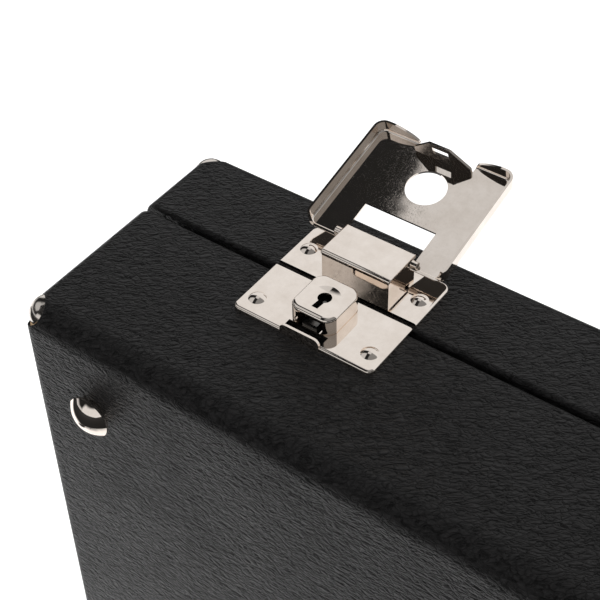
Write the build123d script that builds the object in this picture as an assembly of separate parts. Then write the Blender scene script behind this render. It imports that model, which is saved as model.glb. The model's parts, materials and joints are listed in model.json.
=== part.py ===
"""Recorder case: two covered wooden halves, spine hinges, two key latches, a handle and a fitted bed.

Case frame, in millimetres: X along the case, Y from the base bottom towards the lid with the seam at 0,
Z from the spine face at 0 up to the latch face. Each latch has a frame of its own: Y 0 is the seam-side
edge of its base plate and Z 0 is the covered latch face. The exported row frame is the case frame moved
so that its origin lies at the bottom centre of the whole object, which stands on its spine studs.
"""
import os
from math import asin, cos, degrees, radians, sin

from build123d import *

# Modelling allowances
OVER = 1.0  # how far a cutting tool reaches past the piece, and a joined solid into it
TOUCH = 0.01  # how near an edge has to be to count as lying on a line

# Case halves
CASE_LENGTH = 560.0
CASE_DEPTH = 225.0  # spine face to latch face, over the covering
BASE_HEIGHT = 58.3  # seam to base bottom
LID_HEIGHT = 37.2  # seam to lid top
SEAM_GAP = 2.0
LONG_EDGE_RADIUS = 8.5
END_EDGE_RADIUS = 5.0
RIM_RADIUS = 1.4
COVER = 0.8  # leathercloth
BOARD = 8.0  # frame boards
PANEL = 4.0  # base and lid panels

# Seam tongues, which line the lid up with the base
TONGUE = 1.6
TONGUE_CLEARANCE = 0.4
TONGUE_DEPTH = 7.0  # below the seam
TONGUE_RISE = 4.5  # above the seam

# Latch places
LATCH_INSET = 78.8  # case end to latch centre
PLATE_EDGE_Y = 0.2  # seam-side edge of the base plate, from the seam

# Latch plates
PLATE_HALF = 25.0
PLATE_THICK = 1.5
PLATE_SHEET = 0.8
BASE_PLATE_CORNER = 2.2
LID_PLATE_CORNER = 3.0
PLATE_EDGE_ROUND = 0.9
BASE_PLATE_FRONT = 22.1
LID_PLATE_NEAR = 2.04
LID_PLATE_FAR = 22.2
RIVET_X = 20.3
BASE_RIVET_Y = -15.4
LID_RIVET_Y = 11.3
RIVET_HEAD = 2.8
RIVET_RISE = 1.15
RIVET_SHANK = 1.5
RIVET_GRIP = 6.5
HOLE_CLEARANCE = 0.05

# Catch: finger tab, aperture, lock box and bolt
TAB_HALF = 7.0
TAB_RISE = 2.5
TAB_FACE = 22.3
TAB_CORNER = 2.0
BOX_HALF = 7.8
BOX_FRONT = 17.3
BOX_BACK = 0.5
BOX_TOP = 7.8
BOX_CORNER = 3.8
BOX_EDGE_ROUND = 1.3
BOX_FOOT = 0.35  # chamfer round its foot
BOX_WALL = 0.9
BOX_ROOF = 1.2
BOX_WINDOW_HALF = 4.75
BOX_WINDOW_TOP = 6.0
KEYHOLE_Y = -9.0
KEYHOLE_RADIUS = 2.2
KEYHOLE_SLOT_HALF = 1.05
KEYHOLE_SLOT_END = 14.3
DISH_RADIUS = 4.8
DISH_DEPTH = 0.45
KEY_POST_RADIUS = 0.6
KEY_POST_DROP = 1.0  # its end below the lock box's roof
POCKET_DEPTH = 2.5
BOLT_HALF = 2.6
BOLT_TAIL_HALF = 5.2
BOLT_LOW = 1.6
BOLT_THICK = 1.7
BOLT_TIP = 16.9
BOLT_SHOULDER = 11.6
BOLT_TAIL_END = 4.6
GUIDE_THICK = 0.7
GUIDE_LENGTH = 2.4
GUIDE_BACK = 5.2
GUIDE_CLEARANCE = 0.15

# Bridge and flap
BRIDGE_HALF = 12.5
BRIDGE_NEAR = 6.3
BRIDGE_FAR = 21.0
BRIDGE_TOP = 8.7
BRIDGE_CAP = 1.3
BRIDGE_LIP = 0.35
BRIDGE_WALL = 0.9
BRIDGE_ROOF = 0.7
BRIDGE_EDGE_ROUND = 0.5
BRIDGE_FRONT_ROUND = 1.1
AXIS_Y = 18.3
AXIS_Z = 7.0
FLAP_PIN_RADIUS = 0.7
PIN_CLEARANCE = 0.05
FLAP_HALF = 25.3
FLAP_MIDDLE_X = -0.5  # the tray's middle from the bridge's
FLAP_REACH = 42.5  # hinge axis to free end
FLAP_HEEL = 1.8  # hinge axis to hinge-side edge
FLAP_SHEET = 0.8
FLAP_INNER_Z = 8.0  # inner face over the latch face, closed
FLAP_RIM = 5.0
FLAP_CORNER = 3.6
FLAP_BEND = 1.5
FLAP_LIP = 0.7
FLAP_FALL = 1.9  # over which the rim comes down to the low lip
FLAP_OPEN_ANGLE = 165.8
FLAP_HOLE_RADIUS = 6.75
FLAP_HOLE_X = 0.8
FLAP_WINDOW_CLEARANCE = 0.35
FLAP_WINDOW_START = 13.7
FLAP_KNUCKLE = 2.0
FLAP_KNUCKLE_RADIUS = 1.25
CATCH_FACE_Y = -21.2
CATCH_ROOT_HALF = 10.3
CATCH_SHOULDER = 2.4  # its full width reaches this far below the inner face
CATCH_TIP_HALF = 3.8
CATCH_DEPTH = 8.5
CATCH_LEAN = 8.0  # degrees, in towards the hinge
CATCH_GAP_HALF = 10.5
CATCH_SCOOP = 8.9
CATCH_SCOOP_PULL = (0.6, 1.8, 3.4, 0.5)  # its curve's handles, at the notch and at the rim
CATCH_SLOT_HALF = 2.9
CATCH_SLOT_HEIGHT = 3.4
CATCH_SLOT_CLEARANCE = 0.3

# Spine hinges
HINGE_INSET = 95.0  # case end to hinge centre
HINGE_HALF = 30.0
LEAF = 1.2
LEAF_REACH = 20.0
KNUCKLE_RADIUS = 2.2
KNUCKLE_DROP = 1.9  # hinge axis below the spine face
KNUCKLE_MIDDLE_HALF = 10.0
KNUCKLE_GAP = 0.2
LEAF_NOTCH = 2.7
HINGE_PIN_RADIUS = 1.2
HINGE_RIVET_Y = 12.5
HINGE_RIVET_PITCH = 20.0
HINGE_RIVET_RISE = 1.0

# Studs and corner caps
STUD_RADIUS = 7.5
STUD_HEIGHT = 5.9
STUD_NECK = 5.8
STUD_NECK_HEIGHT = 1.4
STUD_FLANGE = 1.2
STUD_SHANK = 1.8
STUD_GRIP = 4.0
STUD_END_INSET = 26.1
STUD_SIDE_INSET = 31.2
SPINE_STUD_BASE_Y = -40.0
SPINE_STUD_LID_Y = 21.0
CAP_RIM_RADIUS = 4.8
CAP_RISE = 2.4
CAP_SHEET = 0.9
CAP_END_INSET = 2.7  # cap rim centre, in from the case's end
CAP_OUTER_INSET = 5.6  # in from the base bottom or the lid top
CAP_SIDE_INSET = 4.1  # in from the latch or spine face
CAP_SHANK = 1.1
CAP_SHANK_LENGTH = 6.5
CAP_SEAT_CLEARANCE = 0.05

# Handle
BRACKET_X = 59.0
BRACKET_HALF = 15.0
BRACKET_REACH = 8.0
BRACKET_SHEET = 1.4
BRACKET_CORNER = 3.0
BRACKET_RIVET_X = 11.0
BRACKET_RIVET_Y = 4.6
EAR_INNER = 4.0
EAR = 1.3
EAR_RADIUS = 3.6
PIVOT_Y = -13.5
PIVOT_HEIGHT = 6.5
HANDLE_PIN_RADIUS = 1.6
HANDLE_PIN_HEAD = 2.6
HANDLE_PIN_HEAD_LENGTH = 1.0
EYE_RADIUS = 3.6
EYE_HALF = 3.6
HANDLE_ROD_RADIUS = 2.4
HANDLE_REACH = 36.0
HANDLE_BEND = 9.0
GRIP_HALF = 45.0
GRIP_WIDTH = 18.0
GRIP_THICK = 14.0
GRIP_END_WIDTH = 13.0
GRIP_END_THICK = 11.0
GRIP_END_ROUND = 2.0
GRIP_REST_CLEARANCE = 0.3
FERRULE_RADIUS = 4.6
FERRULE_LENGTH = 3.0

# Padding
BED_FLOOR = 6.0
WALL_PAD = 6.0
BASE_PAD_TOP = 9.0  # below the seam
PAD_ROUND = 2.0
DIVIDER = 8.0
DIVIDER_TOP = 14.0
DIVIDER_ROUND = 3.5
JOINT_RADIUS = 26.5
CRADLE_WEB = 4.0
CRADLE_LENGTH = 28.0
CRADLE_TOP = 22.0
MIDDLE_JOINT_CRADLES = (120.0, 430.0)  # from the case's left end, as are the next four
HEAD_JOINT_CRADLES = (65.0, 260.0)
FOOT_JOINT_CRADLES = (60.0, 190.0)
HEAD_TROUGH_WALL = 368.0
FOOT_TROUGH_WALL = 258.0
TROUGHS = 3
LID_PAD = 9.0
LID_PAD_CROWN = 4.0
LID_PAD_GAP = 0.4
LID_PAD_WAIST = 1.5
LID_PAD_CHANNELS = 3
CHANNEL_SIDE = 3.0  # side of the square bar that presses a channel in, corner first
LID_WALL_PAD = 4.0
LID_WALL_PAD_TOP = 7.0

# Worked out
INNER_X = CASE_LENGTH / 2 - COVER - BOARD
INNER_LOW = COVER + BOARD
INNER_HIGH = CASE_DEPTH - COVER - BOARD
BASE_FLOOR_Y = -(BASE_HEIGHT - COVER - PANEL)
LID_ROOF_Y = LID_HEIGHT - COVER - PANEL
BED_Y = BASE_FLOOR_Y + BED_FLOOR
LATCH_X = CASE_LENGTH / 2 - LATCH_INSET
HINGE_X = CASE_LENGTH / 2 - HINGE_INSET
HANDLE_REST = degrees(asin((GRIP_THICK / 2 + GRIP_REST_CLEARANCE - PIVOT_HEIGHT) / HANDLE_REACH))
TROUGH_SPACE = INNER_HIGH - INNER_LOW - 2 * WALL_PAD
TROUGH = (TROUGH_SPACE - (TROUGHS - 1) * DIVIDER) / TROUGHS
FLAP_LEAN = radians(180.0 - FLAP_OPEN_ANGLE)
FLAP_BEND_OFFSET = FLAP_INNER_Z + FLAP_SHEET - AXIS_Z - FLAP_BEND
FLAP_TIP_Y = (
    PLATE_EDGE_Y
    + AXIS_Y
    + (FLAP_REACH - FLAP_BEND) * cos(FLAP_LEAN)
    + FLAP_BEND_OFFSET * sin(FLAP_LEAN)
    + FLAP_BEND
)
ROW_SHIFT = (0.0, (BASE_HEIGHT + STUD_HEIGHT - FLAP_TIP_Y) / 2, STUD_HEIGHT)


def block(x0, x1, y0, y1, z0, z1):
    """A box between two corners."""
    return Pos((x0 + x1) / 2, (y0 + y1) / 2, (z0 + z1) / 2) * Box(x1 - x0, y1 - y0, z1 - z0)


def slab(x0, x1, y0, y1, z0, z1, corner):
    """A box between two corners with its upright edges rounded."""
    plan = RectangleRounded(x1 - x0, y1 - y0, corner)
    return Pos((x0 + x1) / 2, (y0 + y1) / 2, z0) * extrude(plan, z1 - z0)


def bar_x(radius, x0, x1, y, z):
    """A cylinder along X."""
    return Pos((x0 + x1) / 2, y, z) * Rot(0, 90, 0) * Cylinder(radius, x1 - x0)


def bar_z(radius, z0, z1, x, y):
    """A cylinder along Z."""
    return Pos(x, y, (z0 + z1) / 2) * Cylinder(radius, z1 - z0)


def plate_yz(points, x0, x1):
    """A prism along X with its outline given as (y, z) points."""
    outline = make_face(Polyline(*[(x0, y, z) for y, z in points], close=True))
    return extrude(outline, x1 - x0, dir=(1, 0, 0))


def plate_xz(points, y0, y1):
    """A prism along Y with its outline given as (x, z) points."""
    outline = make_face(Polyline(*[(x, y0, z) for x, z in points], close=True))
    return extrude(outline, y1 - y0, dir=(0, 1, 0))


def dome(radius, rise):
    """A spherical cap that stands on Z 0."""
    sphere = (radius**2 + rise**2) / (2 * rise)
    return Pos(0, 0, rise - sphere) * Sphere(sphere) & block(-radius, radius, -radius, radius, 0, 2 * rise)


def group(pieces):
    """Separate solids held in one node."""
    return Compound([solid for piece in pieces for solid in piece.solids()])


def cut(piece, tools):
    """Take away the tools that reach the piece."""
    box = piece.bounding_box()
    for tool in tools:
        other = tool.bounding_box()
        apart = (
            other.min.X > box.max.X
            or other.max.X < box.min.X
            or other.min.Y > box.max.Y
            or other.max.Y < box.min.Y
            or other.min.Z > box.max.Z
            or other.max.Z < box.min.Z
        )
        if not apart:
            piece = piece - tool
    return piece


# Case halves


def half_block(side, height, inset):
    """One whole half, drawn in by the inset. Side is -1 for the base and 1 for the lid."""
    near = SEAM_GAP / 2 + inset
    far = height - inset
    half_length = CASE_LENGTH / 2 - inset
    body = block(-half_length, half_length, *sorted((side * near, side * far)), inset, CASE_DEPTH - inset)
    along = body.edges().filter_by(Axis.X)
    body = fillet(along.filter_by(lambda e: abs(abs(e.center().Y) - far) < TOUCH), LONG_EDGE_RADIUS - inset)
    for end in (0, -1):
        outline = body.faces().sort_by(Axis.X)[end].edges()
        kept = outline.filter_by(lambda e: abs(e.center().Y) > near + TOUCH)
        body = fillet(kept, END_EDGE_RADIUS - inset)
    seam = body.faces().filter_by(Axis.Y).filter_by(lambda f: abs(abs(f.center().Y) - near) < TOUCH)
    return fillet(seam.edges(), RIM_RADIUS - inset)


def covering(side, height):
    """The leathercloth of one half, which turns over the rim."""
    skin = half_block(side, height, 0) - half_block(side, height, COVER)
    mouth = sorted((0, side * (SEAM_GAP / 2 + 2 * COVER)))
    return skin - block(-INNER_X, INNER_X, *mouth, INNER_LOW, INNER_HIGH)


def boards(side, height):
    """Latch board, spine board, left and right boards and panel of one half."""
    core = half_block(side, height, COVER)
    low, high = sorted((0, side * height))
    panel_low, panel_high = sorted((side * (height - COVER - PANEL), side * height))
    frame = core - block(-INNER_X, INNER_X, low, high, INNER_LOW, INNER_HIGH)
    end = CASE_LENGTH / 2
    return {
        "latch_board": frame & block(-end, end, low, high, INNER_HIGH, CASE_DEPTH),
        "spine_board": frame & block(-end, end, low, high, 0, INNER_LOW),
        "left_board": frame & block(-end, -INNER_X, low, high, INNER_LOW, INNER_HIGH),
        "right_board": frame & block(INNER_X, end, low, high, INNER_LOW, INNER_HIGH),
        "panel": core & block(-INNER_X, INNER_X, panel_low, panel_high, INNER_LOW, INNER_HIGH),
    }


def seam_tongues():
    """Strips inside the base rim that rise into the lid on the latch side and at both ends."""
    outer_x = INNER_X - TONGUE_CLEARANCE
    outer_z = INNER_HIGH - TONGUE_CLEARANCE
    inner_z = outer_z - TONGUE
    pieces = [block(-outer_x, outer_x, -TONGUE_DEPTH, TONGUE_RISE, inner_z, outer_z)]
    for side in (-1, 1):
        near, far = sorted((side * (outer_x - TONGUE), side * outer_x))
        pieces.append(block(near, far, -TONGUE_DEPTH, TONGUE_RISE, INNER_LOW + WALL_PAD, inner_z))
    return group(pieces)


# Fasteners, studs and corner caps


def rivet(rise=RIVET_RISE, grip=RIVET_GRIP):
    """Domed rivet: its head stands on Z 0 and its shank goes down."""
    return dome(RIVET_HEAD, rise) + bar_z(RIVET_SHANK, -grip, rise / 2, 0, 0)


def rivet_hole(grip=RIVET_GRIP):
    return bar_z(RIVET_SHANK + HOLE_CLEARANCE, -grip - HOLE_CLEARANCE, OVER, 0, 0)


def stud():
    """Domed foot stud that stands on Z 0."""
    flange_low = STUD_NECK_HEIGHT
    flange_high = flange_low + STUD_FLANGE
    flange = bar_z(STUD_RADIUS, flange_low, flange_high, 0, 0)
    flange = chamfer(flange.edges().group_by(Axis.Z)[0], STUD_FLANGE / 3)
    head = Pos(0, 0, flange_high) * dome(STUD_RADIUS, STUD_HEIGHT - flange_high)
    return head + flange + bar_z(STUD_NECK, 0, flange_low, 0, 0) + bar_z(STUD_SHANK, -STUD_GRIP, OVER, 0, 0)


def stud_hole():
    return bar_z(STUD_SHANK + HOLE_CLEARANCE, -STUD_GRIP - HOLE_CLEARANCE, OVER, 0, 0)


def base_stud_places():
    """The four places of the studs on the base bottom."""
    x = CASE_LENGTH / 2 - STUD_END_INSET
    rows = (STUD_SIDE_INSET, CASE_DEPTH - STUD_SIDE_INSET)
    return [Pos(side * x, -BASE_HEIGHT, z) * Rot(90, 0, 0) for side in (-1, 1) for z in rows]


def spine_stud_places(y):
    """The two places of the spine studs of one half."""
    x = CASE_LENGTH / 2 - STUD_END_INSET
    return [Pos(side * x, y, 0) * Rot(180, 0, 0) for side in (-1, 1)]


def corner_cap():
    """Domed cap with a nail: its rim lies on Z 0 and the dome stands up."""
    sphere = (CAP_RIM_RADIUS**2 + CAP_RISE**2) / (2 * CAP_RISE)
    centre = CAP_RISE - sphere
    shell = Pos(0, 0, centre) * (Sphere(sphere) - Sphere(sphere - CAP_SHEET))
    shell = shell & block(-sphere, sphere, -sphere, sphere, 0, 2 * CAP_RISE)
    return shell + bar_z(CAP_SHANK, -CAP_SHANK_LENGTH, CAP_RISE - CAP_SHEET / 2, 0, 0)


def corner_seat():
    """What a corner cap presses out of the corner, and its nail hole."""
    sphere = (CAP_RIM_RADIUS**2 + CAP_RISE**2) / (2 * CAP_RISE)
    seat = bar_z(CAP_RIM_RADIUS + CAP_SHEET, 0, sphere + CAP_RISE, 0, 0)
    seat = seat - Pos(0, 0, CAP_RISE - sphere) * Sphere(sphere - CAP_SHEET - CAP_SEAT_CLEARANCE)
    return seat + bar_z(CAP_SHANK + HOLE_CLEARANCE, -CAP_SHANK_LENGTH - HOLE_CLEARANCE, CAP_RISE, 0, 0)


def cap_places(side, height):
    """The four outer corners of one half, looking outwards along the corner's diagonal."""
    places = []
    for end in (-1, 1):
        for top in (-1, 1):
            x = end * (CASE_LENGTH / 2 - CAP_END_INSET)
            y = side * (height - CAP_OUTER_INSET)
            z = CASE_DEPTH / 2 + top * (CASE_DEPTH / 2 - CAP_SIDE_INSET)
            corner = Plane(origin=(x, y, z), z_dir=(end, side, top))
            places.append(corner.location)
    return places


# Latch, in its own frame


def latch_places():
    """Left and right latch frames in the case frame."""
    sides = {"left": -1, "right": 1}
    return {name: Pos(side * LATCH_X, PLATE_EDGE_Y, CASE_DEPTH) for name, side in sides.items()}


def pressed_plate(y0, y1, round_side, corner):
    """A pressed plate with turned-down edges. Its corners on the round side are rounded."""
    plate = block(-PLATE_HALF, PLATE_HALF, y0, y1, 0, PLATE_THICK)
    far = sorted(plate.edges().filter_by(Axis.Z), key=lambda e: round_side * e.center().Y)[2:]
    plate = fillet(far, corner)
    top = plate.faces().sort_by(Axis.Z)[-1].edges()
    seam_y = y1 if round_side < 0 else y0
    plate = fillet(top.filter_by(lambda e: abs(e.center().Y - seam_y) > TOUCH), PLATE_EDGE_ROUND)
    inner_x = PLATE_HALF - PLATE_SHEET
    hollow_top = PLATE_THICK - PLATE_SHEET
    low_y, high_y = y0 + PLATE_SHEET, y1 - PLATE_SHEET
    hollow = slab(-inner_x, inner_x, low_y, high_y, 0, hollow_top, corner - PLATE_SHEET)
    return plate - hollow


def plate_rivet_places(y):
    return [Pos(side * RIVET_X, y, PLATE_THICK) for side in (-1, 1)]


def catch_aperture(low, high):
    """The slot in front of the lock box that takes the flap's catch."""
    inner_face = TAB_FACE - PLATE_SHEET
    return block(-TAB_HALF, TAB_HALF, -inner_face, -BOX_FRONT, low, high)


def base_plate():
    """Base plate with its finger tab bent up from the front edge."""
    plate = pressed_plate(-BASE_PLATE_FRONT, 0, -1, BASE_PLATE_CORNER)
    tab_top = PLATE_THICK + TAB_RISE
    tab = block(-TAB_HALF, TAB_HALF, -TAB_FACE, PLATE_SHEET - TAB_FACE, 0, tab_top)
    tab = fillet(tab.edges().filter_by(Axis.Y).group_by(Axis.Z)[-1], TAB_CORNER)
    return cut(
        plate - catch_aperture(-OVER, PLATE_THICK + OVER) + tab,
        [place * rivet_hole() for place in plate_rivet_places(BASE_RIVET_Y)],
    )


def lock_box():
    """Drawn cover of the lock with the keyhole in its roof and the bolt's window in its front."""
    shell = slab(-BOX_HALF, BOX_HALF, -BOX_FRONT, -BOX_BACK, PLATE_THICK, BOX_TOP, BOX_CORNER)
    shell = fillet(shell.faces().sort_by(Axis.Z)[-1].edges(), BOX_EDGE_ROUND)
    shell = chamfer(shell.faces().sort_by(Axis.Z)[0].edges(), BOX_FOOT)
    half = BOX_HALF - BOX_WALL
    front = -BOX_FRONT + BOX_WALL
    back = -BOX_BACK - BOX_WALL
    roof = BOX_TOP - BOX_ROOF
    shell = shell - slab(-half, half, front, back, PLATE_THICK - OVER, roof, BOX_CORNER - BOX_WALL)
    window = BOX_WINDOW_HALF
    outside = -BOX_FRONT - OVER
    shell = shell - block(-window, window, outside, front + OVER, PLATE_THICK - OVER, BOX_WINDOW_TOP)
    sphere = (DISH_RADIUS**2 + DISH_DEPTH**2) / (2 * DISH_DEPTH)
    dish = Pos(0, KEYHOLE_Y, BOX_TOP - DISH_DEPTH + sphere) * Sphere(sphere)
    side = KEYHOLE_SLOT_HALF
    slot = block(-side, side, -KEYHOLE_SLOT_END, KEYHOLE_Y, roof - OVER, BOX_TOP + OVER)
    return shell - dish - slot - bar_z(KEYHOLE_RADIUS, roof - OVER, BOX_TOP + OVER, 0, KEYHOLE_Y)


def key_post():
    return bar_z(KEY_POST_RADIUS, PLATE_THICK, BOX_TOP - BOX_ROOF - KEY_POST_DROP, 0, KEYHOLE_Y)


def bolt():
    """Sliding lock bolt, drawn back."""
    top = BOLT_LOW + BOLT_THICK
    tail = block(-BOLT_TAIL_HALF, BOLT_TAIL_HALF, -BOLT_SHOULDER, -BOLT_TAIL_END, BOLT_LOW, top)
    nose = block(-BOLT_HALF, BOLT_HALF, -BOLT_TIP, -BOLT_SHOULDER, BOLT_LOW, top)
    gap = KEY_POST_RADIUS + 2 * GUIDE_CLEARANCE
    slot = block(-gap, gap, KEYHOLE_Y - gap, 0, 0, BOX_TOP)
    return tail + nose - slot


def bolt_guide():
    """Small strap over the bolt's tail that keeps it down on the plate."""
    half = BOX_HALF - BOX_WALL
    leg = BOLT_TAIL_HALF + GUIDE_CLEARANCE
    under = BOLT_LOW + BOLT_THICK + GUIDE_CLEARANCE
    front, back = -GUIDE_BACK - GUIDE_LENGTH, -GUIDE_BACK
    strap = block(-half, half, front, back, PLATE_THICK, under + GUIDE_THICK)
    return strap - block(-leg, leg, front - OVER, back + OVER, PLATE_THICK - OVER, under)


def lid_plate():
    plate = pressed_plate(LID_PLATE_NEAR, LID_PLATE_FAR, 1, LID_PLATE_CORNER)
    return cut(plate, [place * rivet_hole() for place in plate_rivet_places(LID_RIVET_Y)])


def bridge():
    """Raised box on the lid plate with a lipped cap, which carries the flap's pin."""
    cap_low = BRIDGE_TOP - BRIDGE_CAP
    near, far = BRIDGE_NEAR, BRIDGE_FAR
    cap = block(-BRIDGE_HALF, BRIDGE_HALF, near, far, cap_low, BRIDGE_TOP)
    rim = cap.faces().sort_by(Axis.Z)[-1].edges().sort_by(Axis.Y)
    cap = fillet(rim[0], BRIDGE_FRONT_ROUND)
    rim = cap.faces().sort_by(Axis.Z)[-1].edges().sort_by(Axis.Y)
    cap = fillet(rim[1:], BRIDGE_EDGE_ROUND)
    half = BRIDGE_HALF - BRIDGE_LIP
    body = block(-half, half, near + BRIDGE_LIP, far, PLATE_THICK, cap_low + BRIDGE_ROOF)
    inner = half - BRIDGE_WALL
    hollow_near = near + BRIDGE_LIP + BRIDGE_WALL
    hollow = block(-inner, inner, hollow_near, far - BRIDGE_ROOF, 0, BRIDGE_TOP - BRIDGE_ROOF)
    reach = BRIDGE_HALF + OVER
    bore = bar_x(FLAP_PIN_RADIUS + PIN_CLEARANCE, -reach, reach, AXIS_Y, AXIS_Z)
    return cap + body - hollow - bore


def flap_pin():
    reach = BRIDGE_HALF + FLAP_WINDOW_CLEARANCE + FLAP_KNUCKLE
    return bar_x(FLAP_PIN_RADIUS, -reach, reach, AXIS_Y, AXIS_Z)


def flap_catch():
    """The slotted tongue bent down from the flap's free end."""
    root = FLAP_INNER_Z + FLAP_SHEET / 2
    shoulder = FLAP_INNER_Z - CATCH_SHOULDER
    tip = FLAP_INNER_Z - CATCH_DEPTH
    outline = [
        (-CATCH_ROOT_HALF, root),
        (-CATCH_ROOT_HALF, shoulder),
        (-CATCH_TIP_HALF, tip),
        (CATCH_TIP_HALF, tip),
        (CATCH_ROOT_HALF, shoulder),
        (CATCH_ROOT_HALF, root),
    ]
    near, far = CATCH_FACE_Y - OVER, CATCH_FACE_Y + FLAP_SHEET + OVER
    slot_low = BOLT_LOW - CATCH_SLOT_CLEARANCE
    slot = block(-CATCH_SLOT_HALF, CATCH_SLOT_HALF, near, far, slot_low, slot_low + CATCH_SLOT_HEIGHT)
    tongue = plate_xz(outline, CATCH_FACE_Y, CATCH_FACE_Y + FLAP_SHEET) - slot
    return tongue.rotate(Axis((0, CATCH_FACE_Y, FLAP_INNER_Z), (1, 0, 0)), CATCH_LEAN)


def rim_scoop(side, y0, y1):
    """What is rounded off the flap's rim beside the catch."""
    edge = side * CATCH_GAP_HALF
    far = side * (CATCH_GAP_HALF + CATCH_SCOOP)
    low = FLAP_INNER_Z + FLAP_SHEET - FLAP_RIM
    high = FLAP_INNER_Z - FLAP_SHEET / 2
    out_near, down_near, in_far, up_far = CATCH_SCOOP_PULL
    handle_near = (edge + side * out_near, y0, high - down_near)
    handle_far = (far - side * in_far, y0, low + up_far)
    curve = Bezier((edge, y0, high), handle_near, handle_far, (far, y0, low))
    rest = Polyline((far, y0, low), (far, y0, low - OVER), (edge, y0, low - OVER), (edge, y0, high))
    return extrude(make_face(Wire([curve.edge(), *rest.edges()])), y1 - y0, dir=(0, 1, 0))


def flap_closed():
    """The pressed flap in its closed place."""
    free = AXIS_Y - FLAP_REACH
    heel = AXIS_Y + FLAP_HEEL
    top = FLAP_INNER_Z + FLAP_SHEET
    low = top - FLAP_RIM
    tray = Pos(FLAP_MIDDLE_X, 0, 0) * slab(-FLAP_HALF, FLAP_HALF, free, heel, low, top, FLAP_CORNER)
    tray = fillet(tray.faces().sort_by(Axis.Z)[-1].edges(), FLAP_BEND)
    t = FLAP_SHEET
    half = FLAP_HALF - t
    inside = slab(-half, half, free + t, heel - t, low - OVER, FLAP_INNER_Z, FLAP_CORNER - t)
    inside = Pos(FLAP_MIDDLE_X, 0, 0) * inside
    inside = fillet(inside.faces().sort_by(Axis.Z)[-1].edges(), FLAP_BEND - t)
    window_half = BRIDGE_HALF + FLAP_WINDOW_CLEARANCE
    above = top + OVER
    below = low - OVER
    past = heel + OVER
    lip = FLAP_INNER_Z - FLAP_LIP
    low_heel = [(heel - FLAP_FALL, below), (past, below), (past, lip), (heel - t, lip)]
    tools = [
        inside,
        block(-window_half, window_half, AXIS_Y - FLAP_WINDOW_START, past, below, above),
        bar_z(FLAP_HOLE_RADIUS, below, above, FLAP_HOLE_X, KEYHOLE_Y),
        plate_yz(low_heel, -FLAP_HALF - OVER, FLAP_HALF + OVER),
        block(-CATCH_GAP_HALF, CATCH_GAP_HALF, free - OVER, CATCH_FACE_Y, below, above),
        rim_scoop(-1, free - OVER, free + FLAP_CORNER),
        rim_scoop(1, free - OVER, free + FLAP_CORNER),
    ]
    flap = cut(tray, tools) + flap_catch()
    for side in (-1, 1):
        near, far = sorted((side * window_half, side * (window_half + FLAP_KNUCKLE)))
        flap = flap + bar_x(FLAP_KNUCKLE_RADIUS, near, far, AXIS_Y, AXIS_Z)
    reach = window_half + FLAP_KNUCKLE + OVER
    return flap - bar_x(FLAP_PIN_RADIUS + PIN_CLEARANCE, -reach, reach, AXIS_Y, AXIS_Z)


def flap_open():
    """The flap leaning back at its stop, as it rests."""
    return flap_closed().rotate(Axis((0, AXIS_Y, AXIS_Z), (1, 0, 0)), -FLAP_OPEN_ANGLE)


# Spine hinges


def leaf_rivet_places(side):
    """Rivet places of one hinge leaf, with the spine face up at Z 0 of each place."""
    y = side * HINGE_RIVET_Y
    return [Pos(step * HINGE_RIVET_PITCH, y, -LEAF) * Rot(180, 0, 0) for step in (-1, 0, 1)]


def hinge_leaf(side):
    """One leaf with its knuckles: the base, side -1, has the outer two and the lid has the middle one."""
    y0, y1 = sorted((0, side * LEAF_REACH))
    leaf = block(-HINGE_HALF, HINGE_HALF, y0, y1, -LEAF, 0)
    middle = KNUCKLE_MIDDLE_HALF
    notch0, notch1 = sorted((-side * OVER, side * LEAF_NOTCH))
    if side < 0:
        spans = [(-HINGE_HALF, -middle), (middle, HINGE_HALF)]
        notches = [block(-middle, middle, notch0, notch1, -LEAF - OVER, OVER)]
    else:
        spans = [(-middle + KNUCKLE_GAP, middle - KNUCKLE_GAP)]
        edge = HINGE_HALF + OVER
        notches = [
            block(-edge, KNUCKLE_GAP - middle, notch0, notch1, -LEAF - OVER, OVER),
            block(middle - KNUCKLE_GAP, edge, notch0, notch1, -LEAF - OVER, OVER),
        ]
    leaf = cut(leaf, notches)
    for x0, x1 in spans:
        leaf = leaf + bar_x(KNUCKLE_RADIUS, x0, x1, 0, -KNUCKLE_DROP)
    reach = HINGE_HALF + OVER
    bore = bar_x(HINGE_PIN_RADIUS + PIN_CLEARANCE, -reach, reach, 0, -KNUCKLE_DROP)
    return cut(leaf, [bore] + [place * rivet_hole() for place in leaf_rivet_places(side)])


def hinge_pin():
    return bar_x(HINGE_PIN_RADIUS, -HINGE_HALF, HINGE_HALF, 0, -KNUCKLE_DROP)


# Handle, with its pivot line at Y 0 and Z 0


def handle_place():
    return Pos(0, PIVOT_Y, CASE_DEPTH + PIVOT_HEIGHT)


def bracket_rivet_places():
    z = BRACKET_SHEET - PIVOT_HEIGHT
    return [Pos(x * BRACKET_RIVET_X, y * BRACKET_RIVET_Y, z) for x in (-1, 1) for y in (-1, 1)]


def handle_bracket():
    """Plate with two ears that hold one end of the handle."""
    low = -PIVOT_HEIGHT
    top = low + BRACKET_SHEET
    plate = slab(-BRACKET_HALF, BRACKET_HALF, -BRACKET_REACH, BRACKET_REACH, low, top, BRACKET_CORNER)
    for side in (-1, 1):
        near, far = sorted((side * EAR_INNER, side * (EAR_INNER + EAR)))
        ear = block(near, far, -EAR_RADIUS, EAR_RADIUS, low, 0) + bar_x(EAR_RADIUS, near, far, 0, 0)
        plate = plate + ear
    reach = EAR_INNER + EAR + OVER
    bore = bar_x(HANDLE_PIN_RADIUS + HOLE_CLEARANCE, -reach, reach, 0, 0)
    return cut(plate, [bore] + [place * rivet_hole() for place in bracket_rivet_places()])


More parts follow.
